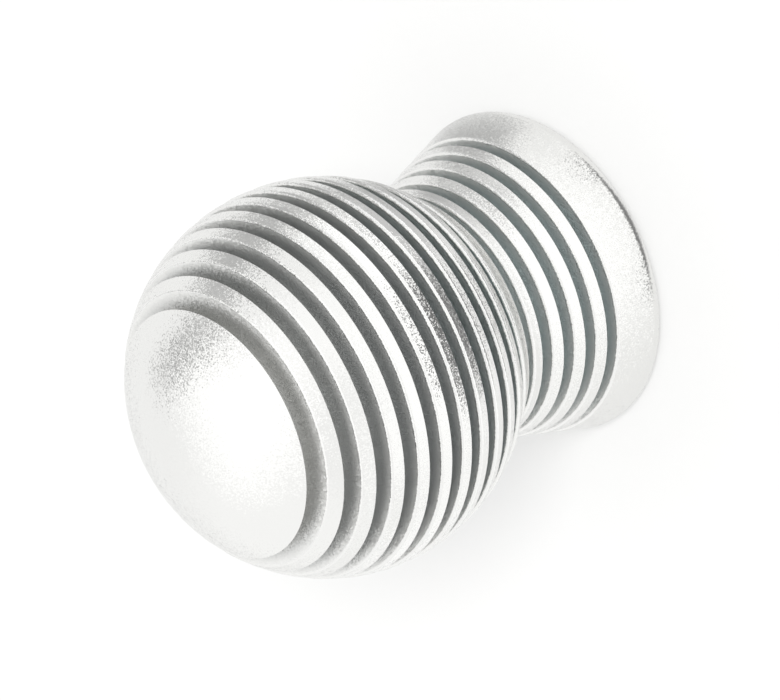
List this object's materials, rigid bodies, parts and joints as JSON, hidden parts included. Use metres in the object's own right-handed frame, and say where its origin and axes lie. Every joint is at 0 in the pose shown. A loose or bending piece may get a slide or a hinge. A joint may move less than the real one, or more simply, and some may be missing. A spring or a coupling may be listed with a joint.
{
  "type": "gear shift knob",
  "caption": "Round turned aluminium gear shift knob: a ball cut into ring-shaped fins on a finned, flared skirt, with a tapped blind hole in its flat base.",
  "frame": {"origin": "centre of the flat base, on the knob's axis", "axes": "+Z along the axis from the base to the top of the dome; the knob is the same all round, so X and Y are free"},
  "size_m": [0.05, 0.05, 0.0635],
  "materials": {
    "knob_body": "bead-blasted and clear-anodised, a fine satin grain"
  },
  "bodies": {
    "root": {"knob_body": "knob_body"}
  },
  "joints": []
}
